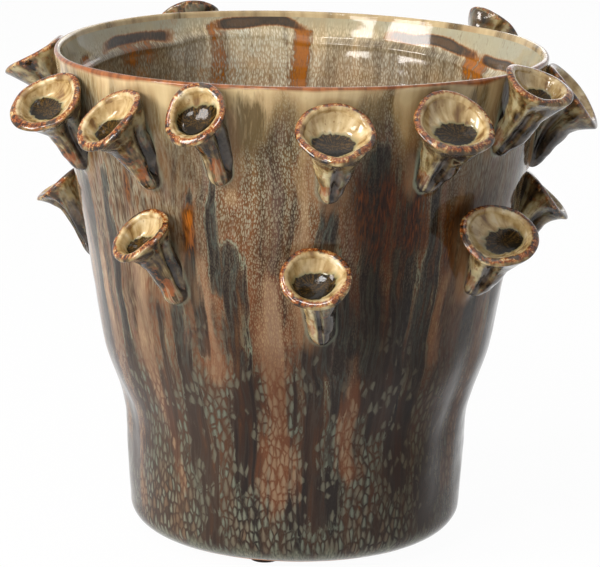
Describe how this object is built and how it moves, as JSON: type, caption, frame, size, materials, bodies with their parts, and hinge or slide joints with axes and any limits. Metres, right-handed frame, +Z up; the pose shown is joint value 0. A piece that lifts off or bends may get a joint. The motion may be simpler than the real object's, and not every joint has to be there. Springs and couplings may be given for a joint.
{
  "type": "flower pot",
  "caption": "Round glazed stoneware cover pot, flared above a narrow foot, with hollow trumpet horns in rings on its upper wall and felt pads below.",
  "frame": {"origin": "on the pot's axis, in the plane that the felt pads stand on", "axes": "+Z up the pot's axis, -Y towards the front of the picture, +X to its right"},
  "size_m": [0.3025, 0.3076, 0.2598],
  "materials": {
    "glazed_body": "glossy reactive glaze with hare's-fur streaks",
    "glazed_horn": "glossy cream glaze, breaking to rust at the lips",
    "felt": "pressed felt"
  },
  "bodies": {
    "root": {"pot_body": "glazed_body", "upper_horn_1": "glazed_horn", "upper_horn_2": "glazed_horn", "upper_horn_3": "glazed_horn", "upper_horn_4": "glazed_horn", "upper_horn_5": "glazed_horn", "upper_horn_6": "glazed_horn", "upper_horn_7": "glazed_horn", "upper_horn_8": "glazed_horn", "upper_horn_9": "glazed_horn", "upper_horn_10": "glazed_horn", "upper_horn_11": "glazed_horn", "upper_horn_12": "glazed_horn", "lower_horn_1": "glazed_horn", "lower_horn_2": "glazed_horn", "lower_horn_3": "glazed_horn", "lower_horn_4": "glazed_horn", "lower_horn_5": "glazed_horn", "lower_horn_6": "glazed_horn", "lower_horn_7": "glazed_horn", "lower_horn_8": "glazed_horn", "felt_pad_1": "felt", "felt_pad_2": "felt", "felt_pad_3": "felt"}
  },
  "joints": []
}
